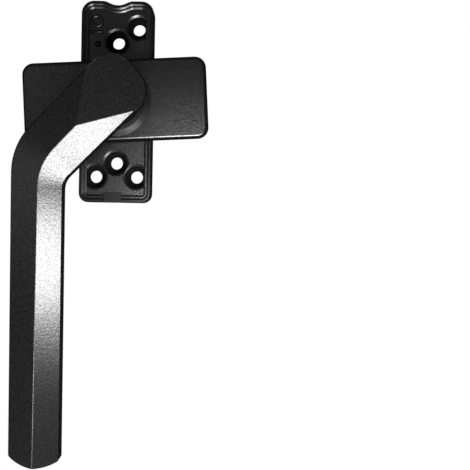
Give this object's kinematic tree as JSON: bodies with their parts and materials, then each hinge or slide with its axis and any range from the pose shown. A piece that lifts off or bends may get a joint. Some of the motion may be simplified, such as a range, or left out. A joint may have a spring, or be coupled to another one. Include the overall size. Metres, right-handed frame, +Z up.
{
  "type": "cranked window handle",
  "caption": "Cranked lever handle for a window sash, with a faceted grip on a round neck, a stepped base plate with countersunk holes, a turning cover cap and a square spindle.",
  "frame": {"origin": "on the turning axis of the lever, at the rear mounting face of the base plate, midway between the two fixing holes", "axes": "+Z up along the base plate, +X to the right as seen from the room, +Y into the window, so the room side is -Y"},
  "size_m": [0.0654, 0.0659, 0.1596],
  "materials": {
    "lever_coat": "fine-texture black powder coat on die-cast aluminium",
    "plate_coat": "satin black coat on die-cast aluminium",
    "cover_coat": "fine-texture black powder coat on die-cast aluminium",
    "bush_plastic": "moulded acetal",
    "cam_steel": "zinc-plated pressed steel",
    "spring_steel": "blued spring steel",
    "ring_steel": "phosphated spring steel",
    "spindle_zinc": "bright zinc plate"
  },
  "bodies": {
    "base": {"base_plate": "plate_coat", "neck_bush": "bush_plastic", "detent_spring_left": "spring_steel", "detent_spring_right": "spring_steel"},
    "handle": {"lever": "lever_coat", "detent_cam": "cam_steel", "retaining_ring": "ring_steel", "square_spindle": "spindle_zinc"},
    "cover": {"cover_cap": "cover_coat"}
  },
  "joints": [
    {"name": "lever_turn", "type": "hinge", "parent": "base", "child": "handle", "pos_m": [0, 0, 0], "axis": [0, 1, 0], "range_deg": [0, 180], "deforming": ["detent_spring_left", "detent_spring_right"]},
    {"name": "cover_turn", "type": "hinge", "parent": "base", "child": "cover", "pos_m": [0, 0, 0], "axis": [0, 1, 0], "range_deg": [-86.6, 93.4]}
  ]
}
